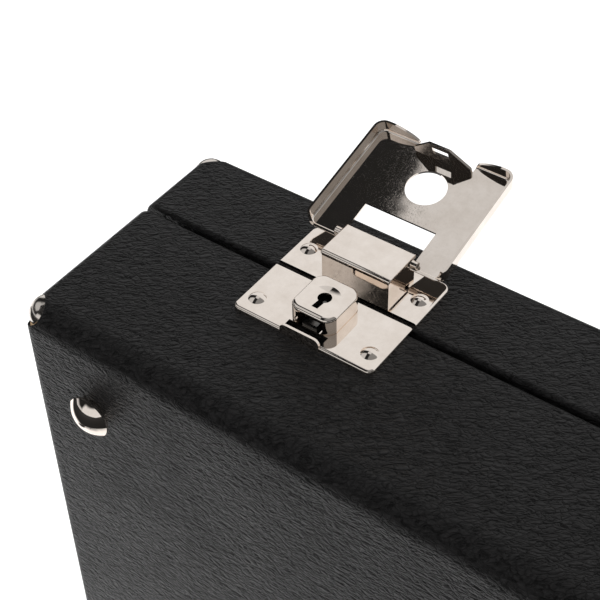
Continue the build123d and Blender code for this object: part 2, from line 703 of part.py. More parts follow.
def handle_pin():
    reach = EAR_INNER + EAR + HOLE_CLEARANCE
    pin = bar_x(HANDLE_PIN_RADIUS, -reach, reach, 0, 0)
    for side in (-1, 1):
        near, far = sorted((side * reach, side * (reach + HANDLE_PIN_HEAD_LENGTH)))
        pin = pin + bar_x(HANDLE_PIN_HEAD, near, far, 0, 0)
    return pin


def handle_rod():
    """Bent steel rod with an eye at each end, standing up from the pivot line."""
    foot = EYE_RADIUS - OVER
    corners = [
        (-BRACKET_X, 0, foot),
        (-BRACKET_X, 0, HANDLE_REACH),
        (BRACKET_X, 0, HANDLE_REACH),
        (BRACKET_X, 0, foot),
    ]
    path = FilletPolyline(*corners, radius=HANDLE_BEND)
    start = Plane(origin=corners[0], z_dir=(0, 0, 1))
    rod = sweep(start * Circle(HANDLE_ROD_RADIUS), path=path)
    for side in (-1, 1):
        x = side * BRACKET_X
        rod = rod + bar_x(EYE_RADIUS, x - EYE_HALF, x + EYE_HALF, 0, 0)
    reach = BRACKET_X + EYE_HALF + OVER
    return rod - bar_x(HANDLE_PIN_RADIUS + PIN_CLEARANCE, -reach, reach, 0, 0)


def handle_grip():
    """Padded grip that swells towards its middle."""
    stations = []
    for share in (-1, -0.5, 0, 0.5, 1):
        swell = 1 - share**2
        width = GRIP_END_WIDTH + (GRIP_WIDTH - GRIP_END_WIDTH) * swell
        thick = GRIP_END_THICK + (GRIP_THICK - GRIP_END_THICK) * swell
        plane = Plane(origin=(share * GRIP_HALF, 0, HANDLE_REACH), x_dir=(0, 1, 0), z_dir=(1, 0, 0))
        stations.append(plane * Ellipse(thick / 2, width / 2))
    grip = loft(stations)
    for end in (0, -1):
        grip = fillet(grip.faces().sort_by(Axis.X)[end].edges(), GRIP_END_ROUND)
    return grip - bar_x(HANDLE_ROD_RADIUS + HOLE_CLEARANCE, -BRACKET_X, BRACKET_X, 0, HANDLE_REACH)


def grip_ferrules():
    """Metal rings on the rod at both ends of the grip."""
    rings = []
    for side in (-1, 1):
        near, far = sorted((side * GRIP_HALF, side * (GRIP_HALF + FERRULE_LENGTH)))
        ring = bar_x(FERRULE_RADIUS, near, far, 0, HANDLE_REACH)
        ring = chamfer(ring.edges().filter_by(GeomType.CIRCLE), FERRULE_LENGTH / 6)
        bore = bar_x(HANDLE_ROD_RADIUS + HOLE_CLEARANCE, near - OVER, far + OVER, 0, HANDLE_REACH)
        rings.append(ring - bore)
    return group(rings)


def lying(piece):
    """Lay the standing handle down over the base half."""
    return handle_place() * piece.rotate(Axis.X, 90 - HANDLE_REST)


# Padding


def trough_centre(index):
    """Middle of a trough along Z, counted from the latch side."""
    return INNER_HIGH - WALL_PAD - TROUGH / 2 - index * (TROUGH + DIVIDER)


def rounded_pad(pad, radius, open_side):
    """Round the edges of a pad's face towards the open side."""
    return fillet(pad.faces().sort_by(Axis.Y)[open_side].edges(), radius)


def wall_pads(low_y, high_y, thick, open_side):
    """Four strips of padding round the walls of one half."""
    x = INNER_X
    strips = [
        block(-x, x, low_y, high_y, INNER_HIGH - thick, INNER_HIGH),
        block(-x, x, low_y, high_y, INNER_LOW, INNER_LOW + thick),
        block(-x, thick - x, low_y, high_y, INNER_LOW + thick, INNER_HIGH - thick),
        block(x - thick, x, low_y, high_y, INNER_LOW + thick, INNER_HIGH - thick),
    ]
    return group([rounded_pad(strip, min(PAD_ROUND, thick / 3), open_side) for strip in strips])


def trough_dividers():
    """Long padded rails between the troughs."""
    x = INNER_X - WALL_PAD
    rails = []
    for index in range(TROUGHS - 1):
        z = trough_centre(index) - TROUGH / 2
        rail = block(-x, x, BED_Y, -DIVIDER_TOP, z - DIVIDER, z)
        long_top = rail.edges().filter_by(Axis.X).group_by(Axis.Y)[-1]
        rails.append(fillet(long_top, DIVIDER_ROUND))
    return group(rails)


def cradles(index, places):
    """Blocks with a round channel that hold one joint of the instrument in its trough."""
    z = trough_centre(index)
    channel = bar_x(JOINT_RADIUS, -INNER_X, INNER_X, BED_Y + CRADLE_WEB + JOINT_RADIUS, z)
    pieces = []
    for place in places:
        x0 = place - CASE_LENGTH / 2 - CRADLE_LENGTH / 2
        cradle = block(x0, x0 + CRADLE_LENGTH, BED_Y, -CRADLE_TOP, z - TROUGH / 2, z + TROUGH / 2)
        pieces.append(cradle - channel)
    return group(pieces)


def compartment_walls():
    """Cross walls that close off the accessory ends of two troughs."""
    walls = []
    for index, place in ((1, HEAD_TROUGH_WALL), (2, FOOT_TROUGH_WALL)):
        x = place - CASE_LENGTH / 2
        z = trough_centre(index)
        wall = block(x, x + DIVIDER, BED_Y, -DIVIDER_TOP, z - TROUGH / 2, z + TROUGH / 2)
        walls.append(fillet(wall.edges().filter_by(Axis.Z).group_by(Axis.Y)[-1], DIVIDER_ROUND))
    return group(walls)


def lid_pad():
    """Crowned cushion under the lid panel with sewn channels across it."""
    x = INNER_X - LID_WALL_PAD - LID_PAD_GAP
    low = INNER_LOW + LID_WALL_PAD + LID_PAD_GAP
    high = INNER_HIGH - LID_WALL_PAD - LID_PAD_GAP
    middle = (low + high) / 2
    edge_y = LID_ROOF_Y - LID_PAD
    arc = ThreePointArc((0, edge_y, low), (0, edge_y - LID_PAD_CROWN, middle), (0, edge_y, high))
    rest = Polyline(
        (0, edge_y, high),
        (0, LID_ROOF_Y - LID_PAD / 2, high - LID_PAD_WAIST),
        (0, LID_ROOF_Y, high),
        (0, LID_ROOF_Y, low),
        (0, LID_ROOF_Y - LID_PAD / 2, low + LID_PAD_WAIST),
        (0, edge_y, low),
    )
    pad = extrude(make_face(Wire([*arc.edges(), *rest.edges()])), x, dir=(1, 0, 0), both=True)
    crown = edge_y - LID_PAD_CROWN
    pitch = 2 * x / (LID_PAD_CHANNELS + 1)
    for step in range(1, LID_PAD_CHANNELS + 1):
        at = step * pitch - x
        groove = Pos(at, crown, middle) * Rot(0, 0, 45) * Box(CHANNEL_SIDE, CHANNEL_SIDE, CASE_DEPTH)
        pad = pad - groove
    return pad


# Assembly


def base_tools():
    """Every hole and seat that goes through the base half's covering and boards."""
    tools = [place * stud_hole() for place in base_stud_places() + spine_stud_places(SPINE_STUD_BASE_Y)]
    tools += [place * corner_seat() for place in cap_places(-1, BASE_HEIGHT)]
    for latch in latch_places().values():
        tools += [latch * place * rivet_hole() for place in plate_rivet_places(BASE_RIVET_Y)]
        tools.append(latch * catch_aperture(-POCKET_DEPTH, OVER))
    for side in (-1, 1):
        bracket = handle_place() * Pos(side * BRACKET_X, 0, 0)
        tools += [bracket * place * rivet_hole() for place in bracket_rivet_places()]
        tools += [Pos(side * HINGE_X, 0, 0) * place * rivet_hole() for place in leaf_rivet_places(-1)]
    return tools


def lid_tools():
    """Every hole and seat that goes through the lid's covering and boards."""
    tools = [place * stud_hole() for place in spine_stud_places(SPINE_STUD_LID_Y)]
    tools += [place * corner_seat() for place in cap_places(1, LID_HEIGHT)]
    for latch in latch_places().values():
        tools += [latch * place * rivet_hole() for place in plate_rivet_places(LID_RIVET_Y)]
    for side in (-1, 1):
        tools += [Pos(side * HINGE_X, 0, 0) * place * rivet_hole() for place in leaf_rivet_places(1)]
    return tools


def shell_nodes():
    """Boards and coverings of both halves."""
    nodes = {}
    for name, side, height, tools in (
        ("base", -1, BASE_HEIGHT, base_tools()),
        ("lid", 1, LID_HEIGHT, lid_tools()),
    ):
        for part, shape in boards(side, height).items():
            nodes[f"{name}_{part}"] = cut(shape, tools)
        nodes[f"{name}_covering"] = cut(covering(side, height), tools)
    return nodes


def furniture_nodes():
    """Studs, corner caps and seam tongues."""
    return {
        "base_studs": group([place * stud() for place in base_stud_places()]),
        "base_spine_studs": group([place * stud() for place in spine_stud_places(SPINE_STUD_BASE_Y)]),
        "lid_spine_studs": group([place * stud() for place in spine_stud_places(SPINE_STUD_LID_Y)]),
        "base_corner_caps": group([place * corner_cap() for place in cap_places(-1, BASE_HEIGHT)]),
        "lid_corner_caps": group([place * corner_cap() for place in cap_places(1, LID_HEIGHT)]),
        "seam_tongues": seam_tongues(),
    }


def latch_nodes():
    """Both latches."""
    nodes = {}
    latches = latch_places()
    for name, latch in latches.items():
        nodes[f"{name}_base_plate"] = latch * base_plate()
        nodes[f"{name}_lock_box"] = latch * lock_box()
        nodes[f"{name}_bolt"] = latch * bolt()
        nodes[f"{name}_lid_plate"] = latch * lid_plate()
        nodes[f"{name}_bridge"] = latch * bridge()
        nodes[f"{name}_flap_pin"] = latch * flap_pin()
        nodes[f"{name}_flap"] = latch * flap_open()
    nodes["key_posts"] = group([latch * key_post() for latch in latches.values()])
    nodes["bolt_guides"] = group([latch * bolt_guide() for latch in latches.values()])
    for half, y in (("base", BASE_RIVET_Y), ("lid", LID_RIVET_Y)):
        places = plate_rivet_places(y)
        rivets = [latch * place * rivet() for latch in latches.values() for place in places]
        nodes[f"{half}_plate_rivets"] = group(rivets)
    return nodes


def hinge_nodes():
    """Both spine hinges."""
    nodes = {}
    hinges = {"left": Pos(-HINGE_X, 0, 0), "right": Pos(HINGE_X, 0, 0)}
    for name, hinge in hinges.items():
        nodes[f"{name}_hinge_base_leaf"] = hinge * hinge_leaf(-1)
        nodes[f"{name}_hinge_lid_leaf"] = hinge * hinge_leaf(1)
    nodes["hinge_pins"] = group([hinge * hinge_pin() for hinge in hinges.values()])
    head = rivet(HINGE_RIVET_RISE)
    for half, side in (("base", -1), ("lid", 1)):
        places = leaf_rivet_places(side)
        rivets = [hinge * place * head for hinge in hinges.values() for place in places]
        nodes[f"{half}_hinge_rivets"] = group(rivets)
    return nodes


def handle_nodes():
    """Carrying handle and its brackets."""
    sides = {"left": -BRACKET_X, "right": BRACKET_X}
    brackets = {name: handle_place() * Pos(x, 0, 0) for name, x in sides.items()}
    nodes = {f"{name}_handle_bracket": at * handle_bracket() for name, at in brackets.items()}
    nodes["handle_pins"] = group([at * handle_pin() for at in brackets.values()])
    places = bracket_rivet_places()
    nodes["handle_rivets"] = group([at * place * rivet() for at in brackets.values() for place in places])
    nodes["handle_rod"] = lying(handle_rod())
    nodes["handle_grip"] = lying(handle_grip())
    nodes["grip_ferrules"] = lying(grip_ferrules())
    return nodes


def padding_nodes():
    """The fitted bed in the base and the padding in the lid."""
    floor = block(-INNER_X, INNER_X, BASE_FLOOR_Y, BED_Y, INNER_LOW, INNER_HIGH)
    return {
        "bed_floor": floor,
        "base_wall_pads": wall_pads(BED_Y, -BASE_PAD_TOP, WALL_PAD, -1),
        "trough_dividers": trough_dividers(),
        "middle_joint_cradles": cradles(0, MIDDLE_JOINT_CRADLES),
        "head_joint_cradles": cradles(1, HEAD_JOINT_CRADLES),
        "foot_joint_cradles": cradles(2, FOOT_JOINT_CRADLES),
        "compartment_walls": compartment_walls(),
        "lid_wall_pads": wall_pads(LID_WALL_PAD_TOP, LID_ROOF_Y, LID_WALL_PAD, 0),
        "lid_pad": lid_pad(),
    }


def main():
    os.makedirs("parts", exist_ok=True)
    nodes = {}
    for builder in (shell_nodes, furniture_nodes, latch_nodes, hinge_nodes, handle_nodes, padding_nodes):
        nodes.update(builder())
    for name, shape in nodes.items():
        export_step(shape.moved(Location(ROW_SHIFT)), f"parts/{name}.step")
    print(len(nodes), "nodes, row shift", ROW_SHIFT, "handle rest angle", round(HANDLE_REST, 3))


main()
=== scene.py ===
"""Looks of the recorder case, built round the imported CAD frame.

Lengths are in metres in the row frame, and for the soft pieces in mm in the case frame.
"""
import json
import math

import bmesh
import bpy
from mathutils import Matrix, Vector, noise

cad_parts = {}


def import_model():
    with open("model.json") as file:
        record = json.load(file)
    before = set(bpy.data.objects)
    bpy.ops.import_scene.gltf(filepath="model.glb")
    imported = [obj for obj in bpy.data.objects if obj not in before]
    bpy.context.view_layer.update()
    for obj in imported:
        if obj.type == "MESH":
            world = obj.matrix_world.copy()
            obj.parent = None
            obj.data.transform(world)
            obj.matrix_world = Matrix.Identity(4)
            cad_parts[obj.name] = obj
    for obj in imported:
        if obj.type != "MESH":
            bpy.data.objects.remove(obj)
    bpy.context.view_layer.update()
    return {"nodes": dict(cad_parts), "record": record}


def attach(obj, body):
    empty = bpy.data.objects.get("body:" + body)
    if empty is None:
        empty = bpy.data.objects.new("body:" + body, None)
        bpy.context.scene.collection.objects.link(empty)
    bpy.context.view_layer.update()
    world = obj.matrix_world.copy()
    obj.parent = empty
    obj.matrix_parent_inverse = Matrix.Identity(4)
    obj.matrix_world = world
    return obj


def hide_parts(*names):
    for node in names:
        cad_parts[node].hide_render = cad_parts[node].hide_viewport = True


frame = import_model()
NODES = frame["nodes"]

MM = 0.001
ROW_SHIFT = Vector((0.0, 2.1895742, 5.9))  # from the case frame to the row frame, mm

# Camera, fitted to the plates' corners, rivets and the case's edges in the photograph
CAMERA_PLACE = (-0.02445, -0.25366, 0.53040)
CAMERA_RIGHT = (0.81066, 0.58515, -0.02061)
CAMERA_UP = (-0.39419, 0.57147, 0.71975)
CAMERA_BACK = (0.43294, -0.57535, 0.69393)
CAMERA_LENS = 86.06

# Colours, linear
LEATHER_DARK = (0.0036, 0.0034, 0.0035)
LEATHER_LIGHT = (0.0120, 0.0114, 0.0116)
NICKEL = (0.93, 0.85, 0.78)
NICKEL_STAIN = (0.82, 0.735, 0.66)
SATIN = (0.62, 0.60, 0.57)
STEEL = (0.17, 0.165, 0.16)
PLUSH = (0.13, 0.012, 0.022)
PLUSH_DARK = (0.060, 0.005, 0.010)
PLUSH_SHEEN = (0.95, 0.55, 0.58)
WOOD_LIGHT = (0.52, 0.36, 0.20)
WOOD_DARK = (0.36, 0.23, 0.12)
# Painted shade: the black of the boards round the locks, for the gaps there
LOCK_GAP_SHADE = (0.006, 0.005, 0.005)
LOCK_GAP_SHADE_HEIGHT = 0.2262  # above it the boards are painted black round the locks, as painted shade in the gaps there
BLACK_PLASTIC = (0.012, 0.012, 0.012)


# Node graphs


class Graph:
    """Short calls for one node tree."""

    def __init__(self, tree):
        self.nodes = tree.nodes
        self.links = tree.links

    def put(self, socket, value):
        """Link a socket to another's output, or set it to a constant."""
        if isinstance(value, bpy.types.NodeSocket):
            self.links.new(value, socket)
        elif hasattr(value, "__len__") and len(value) == 3 and len(socket.default_value) == 4:
            socket.default_value = (*value, 1)
        else:
            socket.default_value = value

    def math(self, operation, a, b=0.0):
        node = self.nodes.new("ShaderNodeMath")
        node.operation = operation
        self.put(node.inputs[0], a)
        self.put(node.inputs[1], b)
        return node.outputs[0]

    def rise(self, value, start, end, low=0.0, high=1.0):
        """Go smoothly from low to high while the value goes from start to end."""
        node = self.nodes.new("ShaderNodeMapRange")
        node.interpolation_type = "SMOOTHSTEP"
        settings = {"Value": value, "From Min": start, "From Max": end, "To Min": low, "To Max": high}
        for name, setting in settings.items():
            self.put(node.inputs[name], setting)
        return node.outputs[0]

    def split(self, vector):
        """The x, y and z of a vector."""
        node = self.nodes.new("ShaderNodeSeparateXYZ")
        self.put(node.inputs[0], vector)
        return [node.outputs[axis] for axis in "XYZ"]


class Finish(Graph):
    """Short calls for one material's textures and shader."""

    def __init__(self, name):
        self.material = bpy.data.materials.new(name)
        self.material.use_nodes = True
        super().__init__(self.material.node_tree)
        self.shader = self.nodes["Principled BSDF"]
        self.point = self.nodes.new("ShaderNodeTexCoord").outputs["Object"]

    def set(self, **values):
        """Set shader sockets by their names, with spaces written as underscores."""
        for name, value in values.items():
            self.put(self.shader.inputs[name.replace("_", " ")], value)

    def space(self, scale, turn=None):
        """The object's own coordinates, turned and then scaled."""
        point = self.point
        if turn:
            turned = self.nodes.new("ShaderNodeMapping")
            self.put(turned.inputs["Vector"], point)
            turned.inputs["Rotation"].default_value = turn
            point = turned.outputs[0]
        scaled = self.nodes.new("ShaderNodeMapping")
        self.put(scaled.inputs["Vector"], point)
        scaled.inputs["Scale"].default_value = scale
        return scaled.outputs[0]

    def noise(self, vector, scale, detail=2.0, roughness=0.5, distortion=0.0, output="Fac"):
        node = self.nodes.new("ShaderNodeTexNoise")
        self.put(node.inputs["Vector"], vector)
        node.inputs["Scale"].default_value = scale
        node.inputs["Detail"].default_value = detail
        node.inputs["Roughness"].default_value = roughness
        node.inputs["Distortion"].default_value = distortion
        return node.outputs[output]

    def cracks(self, vector, scale):
        """Distance to the nearest edge between cells."""
        node = self.nodes.new("ShaderNodeTexVoronoi")
        node.feature = "DISTANCE_TO_EDGE"
        self.put(node.inputs["Vector"], vector)
        node.inputs["Scale"].default_value = scale
        return node.outputs["Distance"]

    def ramp(self, value, stops, smooth=False):
        """Map a value through (position, grey) stops."""
        node = self.nodes.new("ShaderNodeValToRGB")
        node.color_ramp.interpolation = "EASE" if smooth else "LINEAR"
        elements = node.color_ramp.elements
        while len(elements) < len(stops):
            elements.new(0.5)
        for element, (at, grey) in zip(elements, stops):
            element.position = at
            element.color = (grey, grey, grey, 1)
        self.put(node.inputs[0], value)
        return node.outputs[0]

    def blend(self, share, low, high):
        """A colour between two."""
        node = self.nodes.new("ShaderNodeMix")
        node.data_type = "RGBA"
        self.put(node.inputs["Factor"], share)
        self.put(node.inputs[6], low)
        self.put(node.inputs[7], high)
        return node.outputs[2]

    def weigh(self, a, share_a, b, share_b):
        """The sum of two values, each times its share."""
        return self.math("ADD", self.math("MULTIPLY", a, share_a), self.math("MULTIPLY", b, share_b))

    def warp(self, vector, by, amount):
        """Move a vector by another one, times an amount."""
        node = self.nodes.new("ShaderNodeVectorMath")
        node.operation = "MULTIPLY_ADD"
        self.put(node.inputs[0], by)
        node.inputs[1].default_value = (amount, amount, amount)
        self.put(node.inputs[2], vector)
        return node.outputs[0]

    def bump(self, height, distance, strength, normal=None):
        node = self.nodes.new("ShaderNodeBump")
        node.inputs["Strength"].default_value = strength
        node.inputs["Distance"].default_value = distance
        self.put(node.inputs["Height"], height)
        if normal is not None:
            self.put(node.inputs["Normal"], normal)
        return node.outputs[0]

    def level(self):
        """How level the surface lies, from 0 to 1."""
        geometry = self.nodes.new("ShaderNodeNewGeometry")
        return self.math("ABSOLUTE", self.split(geometry.outputs["Normal"])[2])


# Materials

TOP_GRAIN_SIZE, SIDE_GRAIN_SIZE = 660, 620
CRACKS_TO_FOLDS = 1.15  # how much finer the cracks are than the folds
RIDGE_SHARE, PEBBLE_SHARE = 0.60, 0.40
SCRATCH_ROUGHNESS = 0.03


def leathercloth():
    """Black leathercloth with a wavy grain: slanting on the latch face, along the case elsewhere."""
    g = Finish("leathercloth")
    top = g.space(scale=(0.48, 1, 1), turn=(0, 0, math.radians(-33)))
    side = g.space(scale=(0.50, 1, 1.1))
    on_top = g.ramp(g.level(), [(0.45, 0.0), (0.8, 1.0)], smooth=True)
    heights = []
    for point, size in ((top, TOP_GRAIN_SIZE), (side, SIDE_GRAIN_SIZE)):
        bent = g.warp(point, by=g.noise(point, scale=300, detail=2, output="Color"), amount=0.0030)
        folds = g.noise(bent, scale=size, detail=3, roughness=0.5)
        ridge = g.ramp(folds, [(0.34, 0.0), (0.50, 0.75), (0.70, 1.0)], smooth=True)
        cracks = g.cracks(bent, scale=CRACKS_TO_FOLDS * size)
        pebble = g.ramp(cracks, [(0.0, 0.0), (0.16, 0.6), (0.45, 1.0)], smooth=True)
        heights.append(g.weigh(ridge, RIDGE_SHARE, pebble, PEBBLE_SHARE))
    height = g.blend(on_top, heights[1], heights[0])
    fine = g.noise(g.point, scale=5200, detail=2, roughness=0.6)
    worn = g.noise(g.point, scale=38, detail=3, roughness=0.6)
    # The colour follows the grain's height: painted shade, darker in the grain's cracks and folds and lighter
    # on its ridges
    g.set(Base_Color=g.blend(g.ramp(height, [(0.3, 0.0), (0.9, 1.0)]), LEATHER_DARK, LEATHER_LIGHT))
    g.set(Roughness=g.ramp(worn, [(0.3, 0.33), (0.7, 0.42)]), Specular_IOR_Level=0.22, IOR=1.5)
    coarse = g.bump(height, distance=0.00100, strength=1.0)
    g.set(Normal=g.bump(fine, distance=0.00005, strength=0.6, normal=coarse))
    return g.material


def nickel():
    """Polished nickel with hairline scratches and faint stains."""
    g = Finish("nickel")
    stains = g.noise(g.point, scale=160, detail=4, roughness=0.65)
    along = g.space(scale=(0.06, 1, 1), turn=(0, 0, math.radians(35)))
    across = g.space(scale=(1, 0.05, 1), turn=(0, 0, math.radians(12)))
    hair = g.ramp(g.noise(along, scale=5200, detail=1), [(0.62, 0.0), (0.72, 1.0)])
    cross = g.ramp(g.noise(across, scale=4300, detail=1), [(0.64, 0.0), (0.74, 1.0)])
    scratch = g.math("ADD", hair, cross)
    stain_and_shade_mask = g.ramp(stains, [(0.35, 0.0), (0.75, 1.0)])
    g.set(Base_Color=g.blend(stain_and_shade_mask, NICKEL, NICKEL_STAIN), Metallic=1.0)
    polish = g.ramp(stains, [(0.3, 0.028), (0.7, 0.052)])
    g.set(Roughness=g.math("ADD", polish, g.math("MULTIPLY", scratch, SCRATCH_ROUGHNESS)))
    swell = g.bump(g.noise(g.point, scale=90, detail=1), distance=0.0003, strength=0.09)
    g.set(Normal=g.bump(scratch, distance=0.0000015, strength=0.4, normal=swell))
    return g.material


def satin_nickel():
    """Duller metal of the corner caps, with small dents."""
    g = Finish("satin_nickel")
    dents = g.noise(g.point, scale=700, detail=3)
    g.set(Base_Color=g.blend(dents, SATIN, NICKEL_STAIN), Metallic=1.0)
    g.set(Roughness=g.ramp(dents, [(0.3, 0.10), (0.7, 0.20)]))
    g.set(Normal=g.bump(dents, distance=0.00003, strength=0.3))
    return g.material


def steel():
    """Blackened steel of the bolts, their guides, the key posts and the hinge pins."""
    g = Finish("steel")
    lines = g.noise(g.space(scale=(1, 0.08, 0.08)), scale=2600, detail=2)
    g.set(Base_Color=STEEL, Metallic=1.0, Roughness=g.ramp(lines, [(0.3, 0.24), (0.7, 0.36)]))
    g.set(Normal=g.bump(lines, distance=0.00001, strength=0.4))
    return g.material


def wood():
    """Plywood with fine grain along the case, painted black round the locks as painted shade in the gaps
    there.
    """
    g = Finish("wood")
    point = g.space(scale=(0.05, 1, 1))
    bent = g.warp(point, by=g.noise(point, scale=60, output="Color"), amount=0.004)
    grain = g.noise(bent, scale=900, detail=4, roughness=0.6)
    # Above that height the colour is painted shade, black in the gaps round the locks
    stain_and_shade_mask = g.math("GREATER_THAN", g.split(g.point)[2], LOCK_GAP_SHADE_HEIGHT)
    g.set(Base_Color=g.blend(stain_and_shade_mask, g.blend(grain, WOOD_LIGHT, WOOD_DARK), LOCK_GAP_SHADE), Roughness=0.6)
    g.set(Normal=g.bump(grain, distance=0.0001, strength=0.5))
    return g.material


def black_plastic():
    """Dull black strip with a faint extrusion texture."""
    g = Finish("black_plastic")
    grain = g.noise(g.space(scale=(0.1, 1, 1)), scale=2400, detail=2)
    g.set(Base_Color=BLACK_PLASTIC, Roughness=g.ramp(grain, [(0.3, 0.42), (0.7, 0.55)]))
    g.set(Normal=g.bump(grain, distance=0.00003, strength=0.5))
    return g.material


def plush():
    """Short-piled wine-red plush, brushed in soft patches."""
    g = Finish("plush")
    patches = g.noise(g.point, scale=26, detail=3, roughness=0.6, distortion=1.2)
    pile = g.noise(g.point, scale=2600, detail=3, roughness=0.7)
    tone = g.weigh(patches, 0.6, pile, 0.5)
    g.set(Base_Color=g.blend(tone, PLUSH_DARK, PLUSH), Roughness=0.95, Specular_IOR_Level=0.2)
    g.set(Sheen_Weight=0.55, Sheen_Roughness=0.35, Sheen_Tint=PLUSH_SHEEN)
    soft = g.bump(patches, distance=0.0012, strength=0.5)
    g.set(Normal=g.bump(pile, distance=0.0004, strength=0.9, normal=soft))
    return g.material


def grip_leather():
    """Smoother black leather of the grip."""
    g = Finish("grip_leather")
    cracks = g.cracks(g.point, scale=1500)
    pores = g.ramp(cracks, [(0.0, 0.0), (0.12, 0.8), (0.4, 1.0)], smooth=True)
    worn = g.noise(g.point, scale=60, detail=3)
    g.set(Base_Color=g.blend(worn, LEATHER_DARK, LEATHER_LIGHT))
    g.set(Roughness=g.ramp(worn, [(0.3, 0.34), (0.7, 0.5)]))
    g.set(Normal=g.bump(pores, distance=0.00012, strength=0.7))
    return g.material


MATERIALS = {
    "leathercloth": leathercloth(),
    "nickel": nickel(),
    "satin_nickel": satin_nickel(),
    "steel": steel(),
    "wood": wood(),
    "black_plastic": black_plastic(),
    "plush": plush(),
    "grip_leather": grip_leather(),
}


def dress_nodes():
    """Every CAD node gets the finish that the record names for it."""
    for part in frame["record"]["subparts"]:
        materials = NODES[part["node"]].data.materials
        materials.clear()
        materials.append(MATERIALS[part["material_slot"]])


dress_nodes()


# Soft pieces

BODIES = frame["record"]["behaviour"]["bodies"]
BODY_OF = {node: body for body in BODIES for node in BODIES[body]}
ROUNDING_TURNS = (0, 30, 60, 90)  # degrees round a rounded edge at which its stations lie


def link(name, data):
    """A new object in the scene."""
    piece = bpy.data.objects.new(name, data)
    bpy.context.scene.collection.objects.link(piece)
    return piece


def row_point(x, y, z):
    """A point of the case frame in the row frame, in metres."""
    return (Vector((x, y, z)) + ROW_SHIFT) * MM


def steps(low, high, radius, pitch):
    """Stations from low to high, close together within the radius of each end."""
    curve = [radius * (1 - math.cos(math.radians(turn))) for turn in ROUNDING_TURNS]
    count = max(2, round((high - low - 2 * radius) / pitch))
    middle = [low + radius + (high - low - 2 * radius) * i / count for i in range(1, count)]
    return [low + c for c in curve] + middle + [high - c for c in reversed(curve)]


def soft_box(bm, low, high, radius, form, pitch=7.0):
    """Add a box with rounded edges to bm, in mm of the case frame. The form moves each point further."""
    stations = [steps(a, b, radius, pitch) for a, b in zip(low, high)]
    lows = [a + radius for a in low]
    highs = [b - radius for b in high]
    points = {}

    def vertex(index):
        if index not in points:
            raw = Vector(stations[axis][i] for axis, i in enumerate(index))
            core = Vector(min(max(raw[a], lows[a]), highs[a]) for a in range(3))
            out = raw - core
            spot = core + out.normalized() * radius if out.length > 0 else raw
            points[index] = bm.verts.new(row_point(*form(spot)))
        return points[index]

    for axis in range(3):
        u, v = (axis + 1) % 3, (axis + 2) % 3
        last = len(stations[axis]) - 1
        for end in (0, last):
            for i in range(len(stations[u]) - 1):
                for j in range(len(stations[v]) - 1):
                    corners = []
                    for du, dv in ((0, 0), (1, 0), (1, 1), (0, 1)):
                        index = [0, 0, 0]
                        index[axis], index[u], index[v] = end, i + du, j + dv
                        corners.append(vertex(tuple(index)))
                    bm.faces.new(corners if end else corners[::-1])


def finish_soft(name, bm, node, slot_name):
    """Turn bm into a smooth padded piece that stands for the CAD node."""
    bmesh.ops.recalc_face_normals(bm, faces=bm.faces)
    mesh = bpy.data.meshes.new(name)
    bm.to_mesh(mesh)
    bm.free()
    mesh.shade_smooth()
    piece = link(name, mesh)
    mesh.materials.append(MATERIALS[slot_name])
    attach(piece, BODY_OF[node])
    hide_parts(node)
    return piece


def puckered(amount, size):
    """A form that moves points in and out a little, as stuffed cloth lies."""
    def form(spot):
        return spot + noise.noise_vector(spot / size) * amount
    return form


# Inside of the case, in mm of the case frame. Each pucker is its amount and its size.
CLEAR = 0.05
INNER_X = 271.2
INNER_LOW, INNER_HIGH = 8.8, 216.2
FLOOR_Y, BED_Y, ROOF_Y = -53.5, -47.5, 32.4
BED_ROUND, BED_PITCH, BED_PUCKER = 1.2, 9.0, (0.25, 26)
WALL_PAD, BASE_PAD_TOP, BASE_PAD_ROUND = 6.0, -9.0, 1.9
LID_WALL_PAD, LID_PAD_LOW, LID_PAD_ROUND = 4.0, 7.0, 1.3
WALL_PUCKER = (0.2, 18)
TROUGH_Z = (180.3, 112.5, 44.7)
TROUGH_HALF = 29.9
DIVIDER, DIVIDER_TOP, DIVIDER_ROUND = 8.0, -14.0, 3.2
DIVIDER_PUCKER = (0.25, 20)
CROSS_WALLS = ((1, 88.0), (2, -22.0))  # trough and x of each wall's left side
CROSS_PUCKER = (0.2, 14)


def bed_floor():
    bm = bmesh.new()
    low = (-INNER_X + CLEAR, FLOOR_Y + CLEAR, INNER_LOW + CLEAR)
    high = (INNER_X - CLEAR, BED_Y, INNER_HIGH - CLEAR)
    soft_box(bm, low, high, BED_ROUND, puckered(*BED_PUCKER), pitch=BED_PITCH)
    finish_soft("bed_lining", bm, "bed_floor", "plush")


def wall_strips(name, node, y0, y1, thick, radius):
    """Four strips of padding round the inside of one half, from y0 to y1."""
    bm = bmesh.new()
    x, low, high = INNER_X - CLEAR, INNER_LOW + CLEAR, INNER_HIGH - CLEAR
    form = puckered(*WALL_PUCKER)
    soft_box(bm, (-x, y0, high - thick), (x, y1, high), radius, form)
    soft_box(bm, (-x, y0, low), (x, y1, low + thick), radius, form)
    soft_box(bm, (-x, y0, low + thick), (thick - x, y1, high - thick), radius, form)
    soft_box(bm, (x - thick, y0, low + thick), (x, y1, high - thick), radius, form)
    finish_soft(name, bm, node, "plush")


def dividers():
    bm = bmesh.new()
    x = INNER_X - WALL_PAD
    form = puckered(*DIVIDER_PUCKER)
    for z in TROUGH_Z[:-1]:
        high = z - TROUGH_HALF
        soft_box(bm, (-x, BED_Y, high - DIVIDER), (x, DIVIDER_TOP, high), DIVIDER_ROUND, form)
    finish_soft("divider_rolls", bm, "trough_dividers", "plush")


def cross_walls():
    bm = bmesh.new()
    form = puckered(*CROSS_PUCKER)
    for index, x in CROSS_WALLS:
        z = TROUGH_Z[index]
        low = (x, BED_Y, z - TROUGH_HALF)
        high = (x + DIVIDER, DIVIDER_TOP, z + TROUGH_HALF)
        soft_box(bm, low, high, DIVIDER_ROUND, form)
    finish_soft("cross_wall_rolls", bm, "compartment_walls", "plush")


